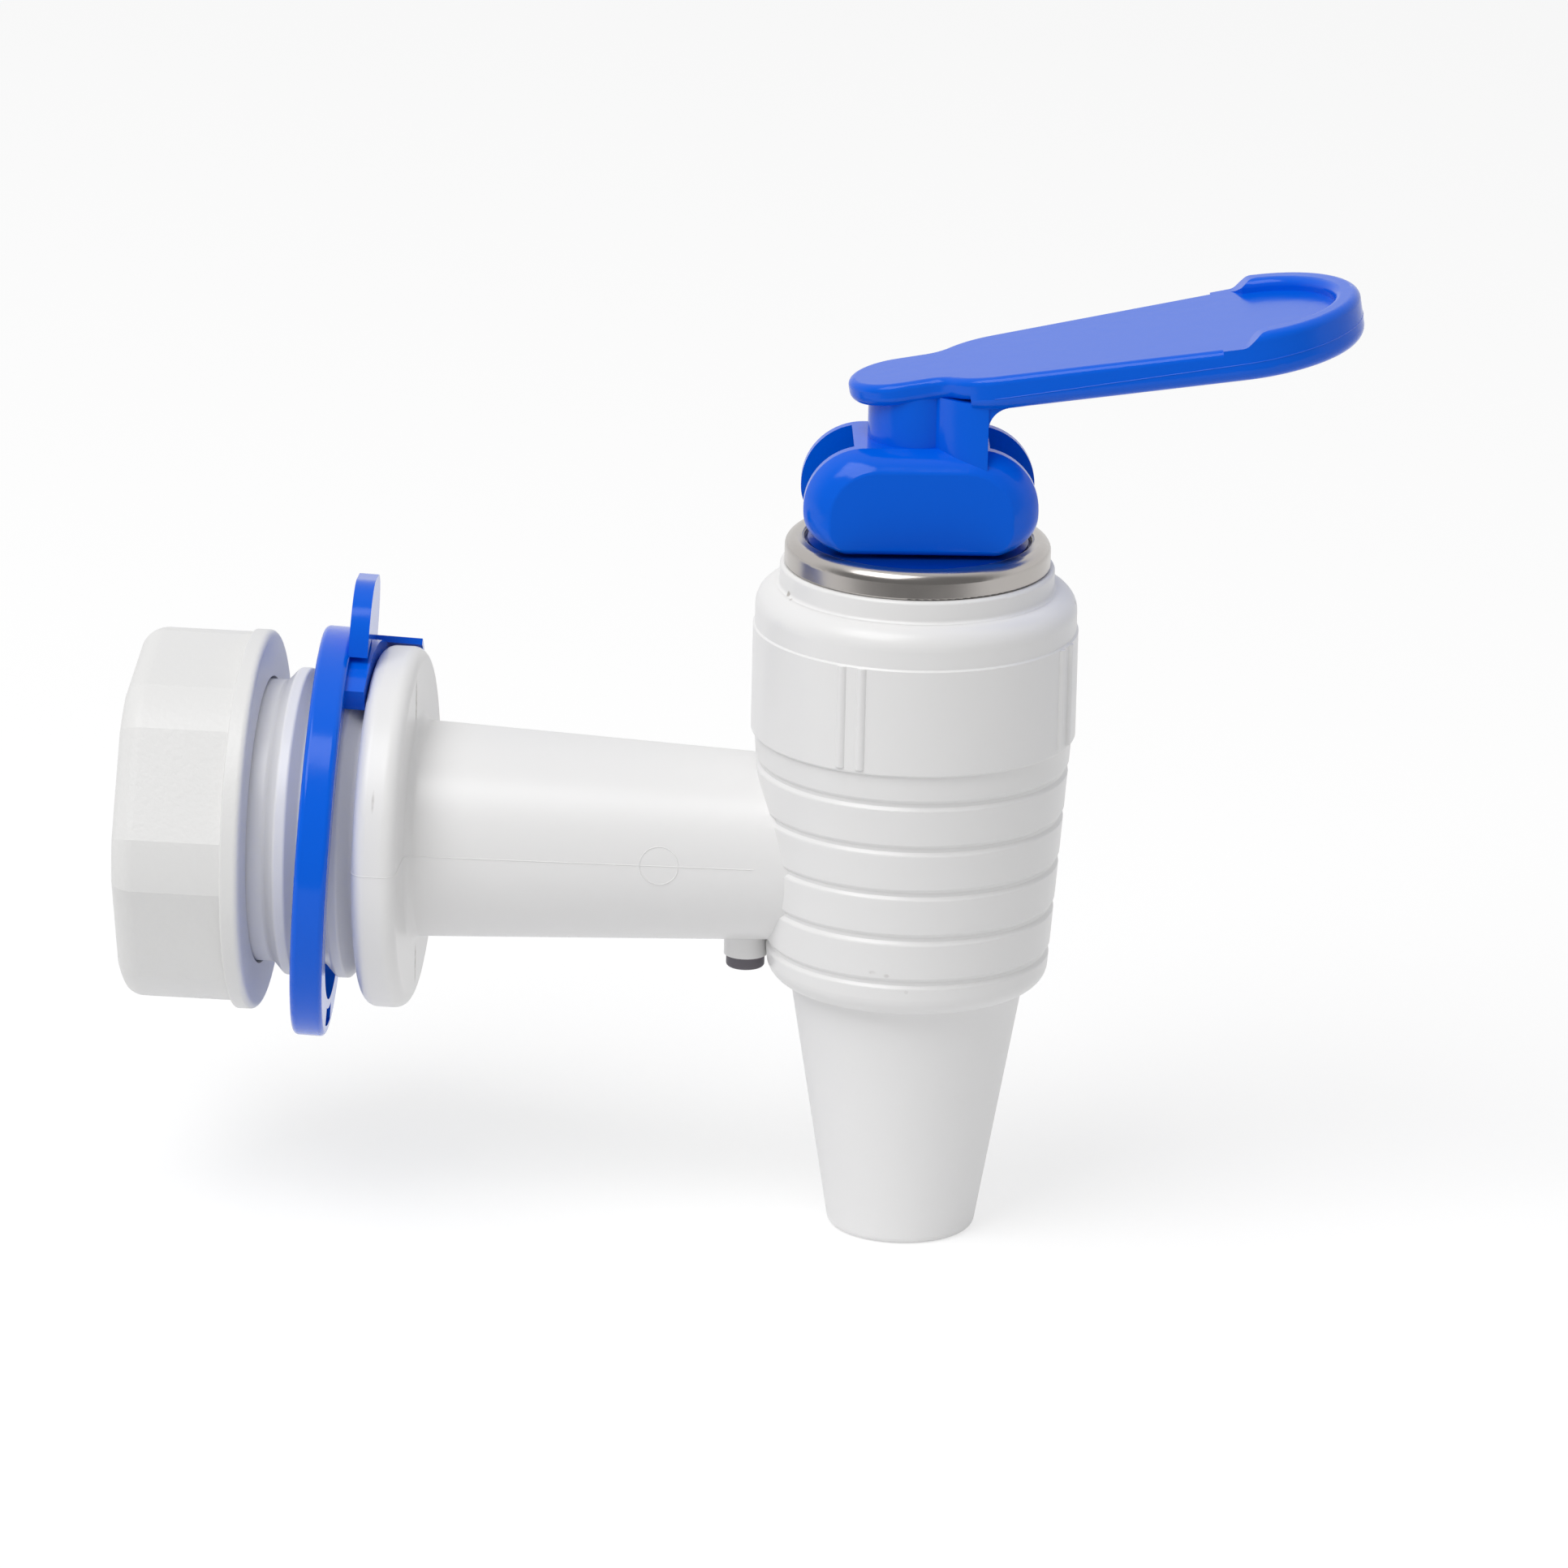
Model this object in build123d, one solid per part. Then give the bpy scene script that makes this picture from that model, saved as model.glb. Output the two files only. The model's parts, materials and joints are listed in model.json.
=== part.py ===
from build123d import *
import os

# A white plastic tap with a blue rocker lever, for a water filter or a dispenser tank.
# The wall seat of the flange is at X = 0, the inlet pipe runs along X and the barrel stands on Z.

# Overall layout
BARREL_X = 46.05
LEVER_YAW = 7.5
RUN = 0.06
SLIP = 0.1
SOFT_GAP = 0.05

# Inlet stub, a 3/4 inch pipe thread: core and crest radius, with two sealing ribs by the flange
STUB_LENGTH = 20.0
STUB_CORE_R = 12.1
STUB_CREST_R = 13.2
STUB_END_EDGE = 0.6
RIB_SPACING = 4.5
RIB_CREST = 0.9
RIB_BASE = 2.9
RIB_FLANGE_GAP = 0.5
RIB_X = -(RIB_FLANGE_GAP + RIB_BASE / 2 + RIB_SPACING)
INLET_R = 8.0
INLET_DEPTH = 14.0
PIPE_BORE_R = 5.5

# Flange and tapered pipe
FLANGE_R = 15.5
FLANGE_T = 3.75
FLANGE_EDGE = 1.2
PIPE_ROOT_EDGE = 0.8
PIPE_R_FLANGE = 9.3
PIPE_R_BARREL = 7.45

# Lower barrel
BARREL_BOTTOM_Z = -10.9
SEAM_Z = 11.1
BARREL_R_BOTTOM = 11.9
BARREL_R_TOP = 13.5
BARREL_FOOT_EDGE = 1.8
GROOVE_COUNT = 5
GROOVE_TOP_Z = 8.45
GROOVE_PITCH = 4.05
GROOVE_WIDTH = 0.95
GROOVE_DEPTH = 0.28
CHAMBER_R = 8.6
FLOOR_Z = -5.6
FLOOR_T = 2.0
SEAT_R = 4.0
SEAT_LIP = 1.0
SEAT_HEIGHT = 0.8
NECK_R = 10.9
NECK_TOP_Z = 17.5
NECK_EDGE = 0.3
SOCKET_R = 8.6

# Boss and plug under the pipe
BOSS_CLEAR = 0.35
BOSS_R = 1.85
BOSS_END_Z = -9.7
BOSS_SINK = 1.0
PLUG_R = 1.25
PLUG_HEAD_R = 1.65
PLUG_HEAD_T = 1.1
PLUG_DEPTH = 3.2
BOSS_X = BARREL_X - BARREL_R_BOTTOM - BOSS_CLEAR - PLUG_HEAD_R

# Bonnet, the screwed top of the barrel
BAND_STEP = 0.3
BAND_R = BARREL_R_TOP + BAND_STEP
BAND_TOP_Z = 20.4
CROWN_STEP = 0.15
CROWN_R = BAND_R - CROWN_STEP
CROWN_TOP_Z = 24.0
CROWN_EDGE = 1.9
BAND_EDGE = 0.25
COLLAR_EDGE = 0.3
COLLAR_STEP = 2.0
COLLAR_R = CROWN_R - COLLAR_STEP
BONNET_TOP_Z = 25.9
BONNET_PLATE_T = 3.4
CAVITY_R = 8.8
GRIP_COUNT = 4
GRIP_PHASE = -107.5
GRIP_SPACING = 7.5
GRIP_RIB_R = 0.45
GRIP_HEIGHT = 0.28

# Stem guide and steel ring
RING_SETBACK = 0.38
RING_R = COLLAR_R - RING_SETBACK
RING_WALL = 0.6
RING_LIP_WIDTH = 1.67
RING_LIP_R = RING_R - RING_LIP_WIDTH
RING_TOP_Z = 28.27
RING_EDGE = 0.95
RING_FOOT_EDGE = 0.2
RING_LIP_EDGE = 0.25
RING_GAP = 0.07
GUIDE_R = RING_R - RING_WALL - RING_GAP
PAD_GAP = 0.25
GUIDE_PAD_R = RING_LIP_R - PAD_GAP
GUIDE_PAD_Z = 28.05
GUIDE_RIM_Z = 27.6
HUB_R = 5.5
HUB_END_Z = 20.5

# Lever, drawn with its length along X before it is turned by its yaw
CHEEK_BOTTOM_Z = 28.4
CHEEK_TOP_Z = 37.1
CHEEK_HALF = 9.9
CHEEK_BOTTOM_CORNER = 3.1
CHEEK_TOP_CORNER = 5.2
CHEEK_OUT = 6.5
CHEEK_STRAIGHT = 4.2
FACE_INSET = 2.2
FACE_DROP = 1.5
FACE_EDGE = 0.45
FACE_BOTTOM_CORNER = 2.0
FACE_TOP_CORNER = 4.0
BULGE_INSET = 0.85
BULGE_OUT = 5.58
SLOT_WIDTH = 6.6
SLOT_ROOF = 0.1
SLOT_ROOF_Z = CHEEK_TOP_Z - SLOT_ROOF
POST_ROOT = 2.4
POST_R = 4.1
POST_S = -0.4
WEB_R = 6.2
WEB_S = 6.0
POST_END_S = 5.4
PADDLE_TOP_Z = 43.1
PADDLE_T = 3.0
PADDLE_PITCH = 9.9
HEAD_R = 4.3
HEAD_S = -2.1
HEAD_PLATE_T = 1.95
HEAD_UNDER_EDGE = 0.85
BLADE_START_S = 3.6
SHOULDER_R = 7.0
SHOULDER_S = 7.0
TIP_R = 9.6
TIP_S = 27.7
NECK_FILLET = 2.5
PADDLE_EDGE = 0.6
PADDLE_UNDER_EDGE = 1.2
RIM_START_S = 27.0
RIM_RAMP_LENGTH = 1.4
RIM_RAMP_EASE = 1.0
RIM_WIDTH = 2.2
RIM_HEIGHT = 1.1
RIM_EDGE = 0.7
RIM_MOUTH_R = 14.0
RIM_MOUTH_REACH = 10.2
WEB_FILLET = 2.0

# Pivot pin
PIN_R = 1.25
PIN_Z = 33.0
PIN_FRONT = 4.9
PIN_REAR = 6.0

# Valve stem, spring and seat cup
STEM_R = 2.5
HEAD_HALF = 3.5
HEAD_PLAY = 0.2
HEAD_T = SLOT_WIDTH - 2 * HEAD_PLAY
HEAD_BOTTOM_Z = 28.9
ROUND_TOP_Z = 27.2
FOOT_R = 3.9
FOOT_TOP_Z = 0.8
FOOT_T = 1.3
KNOB_R = 3.0
KNOB_NECK_R = 1.9
KNOB_LENGTH = 2.8
CUP_PLUG_R = 6.0
CUP_PLUG_TOP_Z = 0.4
CUP_SLEEVE_R = 4.25
CUP_WALL = 0.8
CUP_FLANGE_R = 10.7
CUP_FLANGE_T = 1.5
BELLOWS_COUNT = 4
BELLOWS_OUT = 1.3
WASHER_T = 0.5
WASHER_R = 3.8
SPRING_R = 3.3
SPRING_WIRE_R = 0.4
SPRING_TURNS = 8

# Spout and its seal
SPOUT_TIP_Z = -33.2
SPOUT_R_TOP = 10.0
SPOUT_R_TIP = 6.25
SPOUT_TIP_EDGE = 0.7
OUTLET_EDGE = 0.25
SPIGOT_BORE_R = 6.9
OUTLET_R = 4.9
OUTLET_LENGTH = 8.0
SEAL_WIRE_R = 0.45
SEAL_GROOVE = 1.3

# Mounting nut
NUT_RIB_GAP = 1.45
NUT_FACE_X = RIB_X - RIB_BASE / 2 - NUT_RIB_GAP
NUT_LENGTH = 11.2
NUT_R = 16.05
NUT_FLAT = 15.3
NUT_FLATS = 7
NUT_PHASE = 152.9
NUT_LIP_R = 16.3
NUT_LIP_T = 1.7
NUT_END_EDGE = 2.0
NUT_BORE_GAP = 0.25

# Blue tab ring, hung on the flange by its lip and a little askew
TAB_HOLE_GAP = 1.2
TAB_HOLE_R = STUB_CREST_R + TAB_HOLE_GAP
LIP_GAP = 1.15
LIP_R = FLANGE_R + LIP_GAP
LIP_T = 0.55
LIP_COVER = 0.4
LIP_LENGTH = 5.5
LIP_START = 12.0
LIP_END = 66.0
TAB_RING_R = LIP_R + LIP_T + LIP_COVER
TAB_RING_T = 2.75
TAB_RING_EDGE = 0.5
TAB_X = -2.85
TAB_DROP = 0.78
TAB_TILT = 2.75
TAB_YAW = 3.5
TAB_CENTRE = 81.0
TAB_WIDTH = 12.6
TAB_OVERLAP = 1.2
TAB_NOTCH_COVER = 0.3
TAB_NOTCH_START = 86.0
TAB_NOTCH_END = 120.0
TAB_LENGTH = 4.6
TAB_T = 1.5
TAB_SINK = 0.15
TAB_CORNER = 4.6
LUG_SETBACK = 0.2
LUG_WALL = 2.1
LUG_LENGTH = 3.2
LUG_CLEAR = 0.1
LUG_START = 40.0
LUG_END = 116.0
POCKET_COVER = 0.9
POCKET_WIDTH = 1.5
POCKET_DEPTH = 1.4
POCKET_START = -113.0
POCKET_END = -93.0

PARTS_FOLDER = "parts"


def turned(points, corners=0.0):
    """Solid turned about Z from a closed outline of (radius, height) points."""
    if corners:
        outline = FilletPolyline(*points, radius=corners, close=True)
    else:
        outline = Polyline(*points, close=True)
    return revolve(Plane.XZ * make_face(outline), Axis.Z)


def turned_on_x(points, corners):
    """Solid turned about X from a closed outline of (x, radius) points."""
    outline = FilletPolyline(*points, radius=corners, close=True)
    return revolve(make_face(outline), Axis.X)


def post_on_z(radius, low, high):
    """Round post on the Z axis between two heights."""
    return Pos(0, 0, low) * Cylinder(radius, high - low, align=(Align.CENTER, Align.CENTER, Align.MIN))


def bar_on_x(radius, start, end):
    """Round bar on the X axis between two places."""
    bar = Cylinder(radius, end - start, align=(Align.CENTER, Align.CENTER, Align.MIN))
    return Pos(start, 0, 0) * Rot(0, 90, 0) * bar


def on_barrel(shape):
    """Move a shape from the Z axis to the barrel's axis."""
    return Pos(BARREL_X, 0, 0) * shape


def on_lever(shape):
    """Turn a shape by the lever's yaw and move it to the barrel's axis."""
    return Pos(BARREL_X, 0, 0) * Rot(0, 0, LEVER_YAW) * shape


def barrel_radius(height):
    """Radius of the tapered lower barrel at a height."""
    rise = (height - BARREL_BOTTOM_Z) / (SEAM_Z - BARREL_BOTTOM_Z)
    return BARREL_R_BOTTOM + (BARREL_R_TOP - BARREL_R_BOTTOM) * rise


def stub_flange_and_pipe():
    """Outside of the ribbed stub, the flange and the tapered pipe."""
    points = [(-STUB_LENGTH, 0), (-STUB_LENGTH, STUB_CORE_R)]
    corners = [0, STUB_END_EDGE]
    for rib_x in (RIB_X, RIB_X + RIB_SPACING):
        points += [(rib_x - RIB_BASE / 2, STUB_CORE_R), (rib_x - RIB_CREST / 2, STUB_CREST_R)]
        points += [(rib_x + RIB_CREST / 2, STUB_CREST_R), (rib_x + RIB_BASE / 2, STUB_CORE_R)]
        corners += [RIB_CREST / 2, RIB_CREST / 3, RIB_CREST / 3, RIB_CREST / 2]
    points += [(0, STUB_CORE_R), (0, FLANGE_R), (FLANGE_T, FLANGE_R), (FLANGE_T, PIPE_R_FLANGE)]
    corners += [0, FLANGE_EDGE, FLANGE_EDGE, PIPE_ROOT_EDGE]
    points += [(BARREL_X, PIPE_R_BARREL), (BARREL_X, 0)]
    corners += [0, 0]
    return turned_on_x(points, corners)


def lower_barrel():
    """Outside of the grooved lower barrel with its threaded neck."""
    points = [(0, BARREL_BOTTOM_Z), (BARREL_R_BOTTOM, BARREL_BOTTOM_Z)]
    corners = [0, BARREL_FOOT_EDGE]
    for step in reversed(range(GROOVE_COUNT)):
        middle = GROOVE_TOP_Z - step * GROOVE_PITCH
        floor = barrel_radius(middle) - GROOVE_DEPTH
        low = middle - GROOVE_WIDTH / 2
        high = middle + GROOVE_WIDTH / 2
        points += [(barrel_radius(low), low), (floor, middle - GROOVE_WIDTH / 6)]
        points += [(floor, middle + GROOVE_WIDTH / 6), (barrel_radius(high), high)]
        corners += [GROOVE_WIDTH / 4, 0, 0, GROOVE_WIDTH / 4]
    points += [(BARREL_R_TOP, SEAM_Z), (NECK_R, SEAM_Z), (NECK_R, NECK_TOP_Z), (0, NECK_TOP_Z)]
    corners += [0, 0, NECK_EDGE, 0]
    return turned(points, corners)


def tap_body():
    """One moulding: stub, flange, pipe, lower barrel with its valve chamber, and the boss."""
    seat_top = FLOOR_Z + SEAT_HEIGHT
    boss = Pos(BOSS_X, 0, 0) * post_on_z(BOSS_R, BOSS_END_Z, -PIPE_BORE_R - BOSS_SINK)
    body = stub_flange_and_pipe() + on_barrel(lower_barrel()) + boss
    body -= bar_on_x(INLET_R, -STUB_LENGTH, INLET_DEPTH - STUB_LENGTH)
    body -= bar_on_x(PIPE_BORE_R, INLET_DEPTH - STUB_LENGTH, BARREL_X)
    body -= on_barrel(post_on_z(CHAMBER_R, FLOOR_Z, NECK_TOP_Z))
    body += on_barrel(post_on_z(SEAT_R + SEAT_LIP, FLOOR_Z - FLOOR_T / 2, seat_top))
    body -= on_barrel(post_on_z(SEAT_R, BARREL_BOTTOM_Z, seat_top))
    body -= on_barrel(post_on_z(SOCKET_R, BARREL_BOTTOM_Z, FLOOR_Z - FLOOR_T))
    body -= Pos(BOSS_X, 0, 0) * post_on_z(PLUG_R + SOFT_GAP, BOSS_END_Z, BOSS_END_Z + PLUG_DEPTH + SLIP)
    return body


def vent_plug():
    """Grey plug pushed into the boss."""
    head = post_on_z(PLUG_HEAD_R, BOSS_END_Z - PLUG_HEAD_T, BOSS_END_Z)
    head = fillet(head.edges().group_by(Axis.Z)[0], PLUG_HEAD_T / 4)
    return Pos(BOSS_X, 0, 0) * (head + post_on_z(PLUG_R, BOSS_END_Z, BOSS_END_Z + PLUG_DEPTH))


def grip_ribs():
    """Four pairs of upright grip ribs on the bonnet's band."""
    ribs = []
    for pair in range(GRIP_COUNT):
        for side in (-0.5, 0.5):
            angle = GRIP_PHASE + pair * 360 / GRIP_COUNT + side * GRIP_SPACING
            place = Pos(BAND_R + GRIP_HEIGHT - GRIP_RIB_R, 0, 0)
            rib = place * post_on_z(GRIP_RIB_R, SEAM_Z + GRIP_RIB_R, BAND_TOP_Z)
            ribs.append(Rot(0, 0, angle) * rib)
    return ribs


def bonnet():
    """Screwed top of the barrel, with the plain band, the rounded crown and the collar."""
    clamp_z = NECK_TOP_Z + CUP_FLANGE_T + SOFT_GAP
    plate_z = BONNET_TOP_Z - BONNET_PLATE_T
    points = [
        (NECK_R + SLIP, SEAM_Z),
        (BAND_R, SEAM_Z),
        (BAND_R, BAND_TOP_Z),
        (CROWN_R, BAND_TOP_Z + CROWN_STEP),
        (CROWN_R, CROWN_TOP_Z),
        (COLLAR_R, CROWN_TOP_Z),
        (COLLAR_R, BONNET_TOP_Z),
        (HUB_R + SLIP, BONNET_TOP_Z),
        (HUB_R + SLIP, plate_z),
        (CAVITY_R, plate_z),
        (CAVITY_R, clamp_z),
        (NECK_R + SLIP, clamp_z),
    ]
    corners = [0, BAND_EDGE, 0, 0, CROWN_EDGE, COLLAR_EDGE, COLLAR_EDGE, 0, 0, 0, 0, 0]
    shell = turned(points, corners)
    for rib in grip_ribs():
        shell += rib
    return on_barrel(shell)


def stem_guide():
    """Blue disc under the lever, with the hub that guides the stem."""
    points = [
        (STEM_R + RUN, HUB_END_Z),
        (HUB_R, HUB_END_Z),
        (HUB_R, BONNET_TOP_Z),
        (GUIDE_R, BONNET_TOP_Z),
        (GUIDE_R, GUIDE_RIM_Z),
        (GUIDE_PAD_R, GUIDE_RIM_Z),
        (GUIDE_PAD_R, GUIDE_PAD_Z),
        (STEM_R + RUN, GUIDE_PAD_Z),
    ]
    return on_barrel(turned(points))


def trim_ring():
    """Pressed stainless ring, rolled over the edge of the guide."""
    inner = RING_R - RING_WALL
    lip_under = GUIDE_RIM_Z + SOFT_GAP
    points = [
        (inner, BONNET_TOP_Z),
        (RING_R, BONNET_TOP_Z),
        (RING_R, RING_TOP_Z),
        (RING_LIP_R, RING_TOP_Z),
        (RING_LIP_R, lip_under),
        (inner, lip_under),
    ]
    return on_barrel(turned(points, [0, RING_FOOT_EDGE, RING_EDGE, RING_LIP_EDGE, 0, 0]))


def cheek_section(side, half, top, low_corner, high_corner):
    """Face of the rocker's outline at one distance from the lever's middle plane."""
    points = [(-half, CHEEK_BOTTOM_Z), (half, CHEEK_BOTTOM_Z), (half, top), (-half, top)]
    corners = [low_corner, low_corner, high_corner, high_corner]
    outline = FilletPolyline(*points, radius=corners, close=True)
    return Plane.XZ.offset(side) * make_face(outline)


def rocker():
    """Block of the two cheeks, with rounded shoulders round a flat face on each side."""
    full = (CHEEK_HALF, CHEEK_TOP_Z, CHEEK_BOTTOM_CORNER, CHEEK_TOP_CORNER)
    face = (CHEEK_HALF - FACE_INSET, CHEEK_TOP_Z - FACE_DROP, FACE_BOTTOM_CORNER, FACE_TOP_CORNER)
    share = BULGE_INSET / FACE_INSET
    bulge = tuple(outer + share * (inner - outer) for outer, inner in zip(full, face))
    shoulder = loft([
        cheek_section(CHEEK_STRAIGHT, *full),
        cheek_section(BULGE_OUT, *bulge),
        cheek_section(CHEEK_OUT, *face),
    ])
    shoulder = fillet(shoulder.edges().group_by(Axis.Y)[0], FACE_EDGE)
    core = extrude(cheek_section(0, *full), CHEEK_STRAIGHT, both=True)
    return core + shoulder + mirror(shoulder, Plane.XZ)


def paddle_plan():
    """Outline of the paddle seen from above: round head, waist, shoulders and broad round tip."""
    tip = Pos(TIP_S, 0) * Circle(TIP_R)
    shoulders = Pos(SHOULDER_S, 0) * Circle(SHOULDER_R)
    head = Pos(HEAD_S, 0) * Circle(HEAD_R)
    blade = make_hull(tip.edges() + shoulders.edges())
    neck = Pos(HEAD_S, 0) * Rectangle(
        SHOULDER_S - HEAD_S, 2 * HEAD_R, align=(Align.MIN, Align.CENTER)
    )
    plan = blade + head + neck
    waist = plan.vertices().filter_by_position(Axis.X, HEAD_S + HEAD_R / 2, SHOULDER_S)
    return fillet(waist, NECK_FILLET)


def rim_ramp():
    """Space over the soft ramp that leads from the paddle up to the rim."""
    crest = RIM_START_S + RIM_RAMP_LENGTH
    points = [
        (RIM_START_S - TIP_R, 0),
        (RIM_START_S, 0),
        (crest, RIM_HEIGHT - SOFT_GAP),
        (crest + TIP_R, RIM_HEIGHT + RIM_EDGE),
        (crest + TIP_R, TIP_R),
        (RIM_START_S - TIP_R, TIP_R),
    ]
    outline = FilletPolyline(*points, radius=[0, RIM_RAMP_EASE, RIM_RAMP_EASE, 0, 0, 0], close=True)
    return extrude(Plane.XZ * make_face(outline), 2 * TIP_R, both=True)


def paddle_slab(plan, side, thickness, under_edge):
    """Part of the paddle's plate on one side of the blade's start, with its edges rounded."""
    zone = Pos(BLADE_START_S, 0) * Rectangle(8 * TIP_R, 4 * TIP_R, align=(side, Align.CENTER))
    slab = extrude(plan & zone, -thickness)
    slab = fillet(slab.edges().group_by(Axis.Z)[-1].filter_by(Axis.Y, reverse=True), PADDLE_EDGE)
    return fillet(slab.edges().group_by(Axis.Z)[0].filter_by(Axis.Y, reverse=True), under_edge)


def paddle():
    """Paddle plate with a raised rim round its tip, tilted by its pitch."""
    plan = paddle_plan()
    plate = paddle_slab(plan, Align.MIN, PADDLE_T, PADDLE_UNDER_EDGE)
    plate += paddle_slab(plan, Align.MAX, HEAD_PLATE_T, HEAD_UNDER_EDGE)
    zone_s = RIM_START_S - 2 * RIM_RAMP_EASE
    tip_zone = Pos(zone_s, 0) * Rectangle(2 * TIP_R, 4 * TIP_R, align=(Align.MIN, Align.CENTER))
    band = (plan - offset(plan, -RIM_WIDTH)) & tip_zone
    root = 1.5 * PADDLE_EDGE
    rim = Pos(0, 0, -root) * extrude(band, root + RIM_HEIGHT)
    rim = fillet(rim.edges().group_by(Axis.Z)[-1], RIM_EDGE)
    mouth_s = RIM_START_S - RIM_RAMP_EASE - RIM_MOUTH_REACH
    rim -= Pos(mouth_s, 0, 0) * post_on_z(RIM_MOUTH_R, 0, TIP_R) + rim_ramp()
    return Pos(0, 0, PADDLE_TOP_Z) * Rot(0, -PADDLE_PITCH, 0) * (plate + rim)


def post():
    """Post between the rocker and the paddle, round behind and flared to a web in front."""
    plan = Pos(POST_S, 0) * Circle(POST_R) + Pos(WEB_S, 0) * Circle(WEB_R)
    reach = Pos(POST_END_S, 0) * Rectangle(4 * WEB_R, 4 * WEB_R, align=(Align.MAX, Align.CENTER))
    plan = plan & reach
    low = SLOT_ROOF_Z - POST_ROOT
    return Pos(0, 0, low) * extrude(plan, PADDLE_TOP_Z - PADDLE_T / 2 - low)


def web_fillet():
    """Hollow corner between the front of the web and the underside of the paddle."""
    under = Plane(
        origin=(0, 0, PADDLE_TOP_Z), x_dir=(1, 0, 0), z_dir=(0, 0, 1)
    ).rotated((0, -PADDLE_PITCH, 0)).offset(-PADDLE_T)
    slope = under.x_dir.Z / under.x_dir.X
    centre_s = POST_END_S + WEB_FILLET
    centre_z = under.origin.Z + slope * (centre_s - under.origin.X) - WEB_FILLET / under.x_dir.X
    corner = Pos(POST_END_S, 0, centre_z) * Box(
        WEB_FILLET * (1 - under.x_dir.Z),
        2 * WEB_R - 4 * SLIP,
        WEB_FILLET + PADDLE_T / 4,
        align=(Align.MIN, Align.CENTER, Align.MIN),
    )
    return corner - Pos(centre_s, 0, centre_z) * Rot(90, 0, 0) * Cylinder(WEB_FILLET, 4 * WEB_R)


def lever():
    """One blue moulding: paddle, post and the two rocker cheeks on either side of a slot."""
    body = rocker() + post() + web_fillet() + paddle()
    slot_length = 4 * CHEEK_HALF
    body -= Pos(0, 0, SLOT_ROOF_Z) * Box(
        slot_length, SLOT_WIDTH, 2 * CHEEK_TOP_Z, align=(Align.CENTER, Align.CENTER, Align.MAX)
    )
    body -= pin_bar(PIN_R + RUN, PIN_FRONT + SLIP, 2 * CHEEK_OUT)
    return on_lever(body)


def pin_bar(radius, front, rear):
    """Round bar along the pivot's axis, from the front cheek to the rear one."""
    bar = Cylinder(radius, front + rear, align=(Align.CENTER, Align.CENTER, Align.MIN))
    return Pos(0, -front, PIN_Z) * Rot(-90, 0, 0) * bar


def pivot_pin():
    """Steel pin, driven in through the rear cheek."""
    return on_lever(pin_bar(PIN_R, PIN_FRONT, PIN_REAR))


def valve_stem():
    """Stem with a knob for the seat cup, a foot for the spring and a flat head for the pin."""
    foot_z = FOOT_TOP_Z - FOOT_T
    knob_z = foot_z - KNOB_LENGTH
    points = [
        (0, knob_z),
        (KNOB_R, knob_z),
        (KNOB_R, knob_z + KNOB_LENGTH / 2),
        (KNOB_NECK_R, knob_z + KNOB_LENGTH / 2),
        (KNOB_NECK_R, foot_z),
        (FOOT_R, foot_z),
        (FOOT_R, FOOT_TOP_Z),
        (STEM_R, FOOT_TOP_Z),
        (STEM_R, ROUND_TOP_Z),
        (0, ROUND_TOP_Z),
    ]
    neck = post_on_z(STEM_R, ROUND_TOP_Z - STEM_R, PIN_Z) & Box(4 * STEM_R, HEAD_T, 4 * PIN_Z)
    tongue = Pos(0, HEAD_BOTTOM_Z) * Rectangle(
        2 * HEAD_HALF, PIN_Z - HEAD_BOTTOM_Z, align=(Align.CENTER, Align.MIN)
    )
    tongue += Pos(0, PIN_Z) * Circle(HEAD_HALF)
    head = extrude(Plane.XZ * tongue, HEAD_T / 2, both=True)
    stem = turned(points) + neck + head
    stem -= pin_bar(PIN_R + RUN / 4, HEAD_T, HEAD_T)
    return on_lever(stem)


def seat_cup():
    """Silicone cup: plug that closes the seat, folded sleeve and clamped flange."""
    plug_z = FLOOR_Z + SEAT_HEIGHT + SOFT_GAP
    foot_z = FOOT_TOP_Z - FOOT_T
    knob_z = foot_z - KNOB_LENGTH
    sleeve_out = CUP_SLEEVE_R + CUP_WALL
    flange_low = NECK_TOP_Z
    flange_top = NECK_TOP_Z + CUP_FLANGE_T
    fold = (flange_low - CUP_PLUG_TOP_Z) / (BELLOWS_COUNT + 0.5)
    outside = [(0, plug_z), (CUP_PLUG_R, plug_z), (CUP_PLUG_R, CUP_PLUG_TOP_Z), (sleeve_out, CUP_PLUG_TOP_Z)]
    inside = [(CUP_SLEEVE_R, foot_z - SOFT_GAP), (CUP_SLEEVE_R, CUP_PLUG_TOP_Z)]
    for step in range(BELLOWS_COUNT):
        crest = CUP_PLUG_TOP_Z + (step + 0.5) * fold
        root = CUP_PLUG_TOP_Z + (step + 1) * fold
        outside += [(sleeve_out + BELLOWS_OUT, crest), (sleeve_out, root)]
        inside += [(CUP_SLEEVE_R + BELLOWS_OUT, crest), (CUP_SLEEVE_R, root)]
    outside += [(sleeve_out, flange_low), (CUP_FLANGE_R, flange_low), (CUP_FLANGE_R, flange_top)]
    inside += [(CUP_SLEEVE_R, flange_top)]
    socket = [
        (0, knob_z - SOFT_GAP),
        (KNOB_R + SOFT_GAP, knob_z - SOFT_GAP),
        (KNOB_R + SOFT_GAP, knob_z + KNOB_LENGTH / 2 + SOFT_GAP),
        (KNOB_NECK_R + SOFT_GAP, knob_z + KNOB_LENGTH / 2 + SOFT_GAP),
        (KNOB_NECK_R + SOFT_GAP, foot_z - SOFT_GAP),
    ]
    return on_barrel(turned(outside + inside[::-1] + socket[::-1]))


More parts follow.
